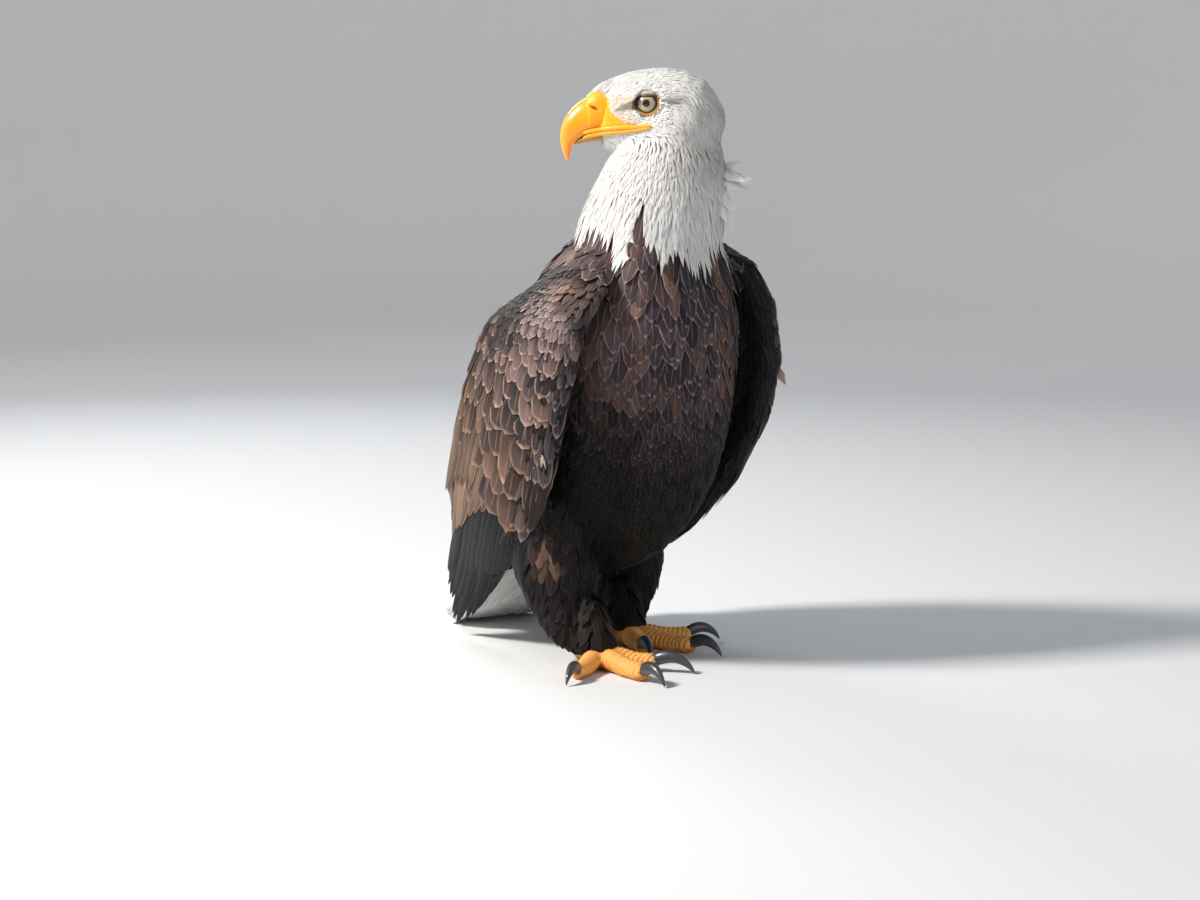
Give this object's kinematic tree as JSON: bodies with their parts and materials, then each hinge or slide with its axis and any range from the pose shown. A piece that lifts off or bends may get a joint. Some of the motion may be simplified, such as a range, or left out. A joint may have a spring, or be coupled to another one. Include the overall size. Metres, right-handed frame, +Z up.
{
  "type": "bald eagle",
  "caption": "Life-size standing bald eagle with its wings folded, head turned over the right shoulder, right foot set forward and the white tail fan laid on the ground; a still museum model.",
  "frame": {"origin": "ground level, under the middle of the bounding box", "axes": "+Z up; the body faces -Y; +X is the bird's own left side"},
  "size_m": [0.2818, 0.4028, 0.5474],
  "materials": {
    "eye": "pale straw iris under a clear glossy cornea, dark pupil and rim",
    "bill": "glossy orange-yellow horn, paler at the hooked tip",
    "cere": "satin lemon-yellow skin round the nostril",
    "white_plumage": "matt white feathers with faint grey-beige streaks",
    "dark_plumage": "soft dark brown lance-shaped feathers with paler edges",
    "wing_plumage": "brown wing coverts with tan and buff edges",
    "flight_plumage": "long blackish flight feathers with a faint blue-green sheen",
    "foot_skin": "bright yellow-orange scaly skin, satin",
    "claw": "polished black horn"
  },
  "bodies": {
    "root": {"eye_right": "eye", "eye_left": "eye", "bill_upper": "bill", "cere": "cere", "bill_lower": "bill", "head": "white_plumage", "neck": "white_plumage", "trunk": "dark_plumage", "wing_right_coverts": "wing_plumage", "wing_right_flight": "flight_plumage", "wing_left_coverts": "wing_plumage", "wing_left_flight": "flight_plumage", "tail": "white_plumage", "thigh_right": "dark_plumage", "ankle_right": "foot_skin", "toe_hind_right": "foot_skin", "claw_hind_right": "claw", "toe_inner_right": "foot_skin", "claw_inner_right": "claw", "toe_middle_right": "foot_skin", "claw_middle_right": "claw", "toe_outer_right": "foot_skin", "claw_outer_right": "claw", "thigh_left": "dark_plumage", "ankle_left": "foot_skin", "toe_hind_left": "foot_skin", "claw_hind_left": "claw", "toe_inner_left": "foot_skin", "claw_inner_left": "claw", "toe_middle_left": "foot_skin", "claw_middle_left": "claw", "toe_outer_left": "foot_skin", "claw_outer_left": "claw"}
  },
  "joints": []
}
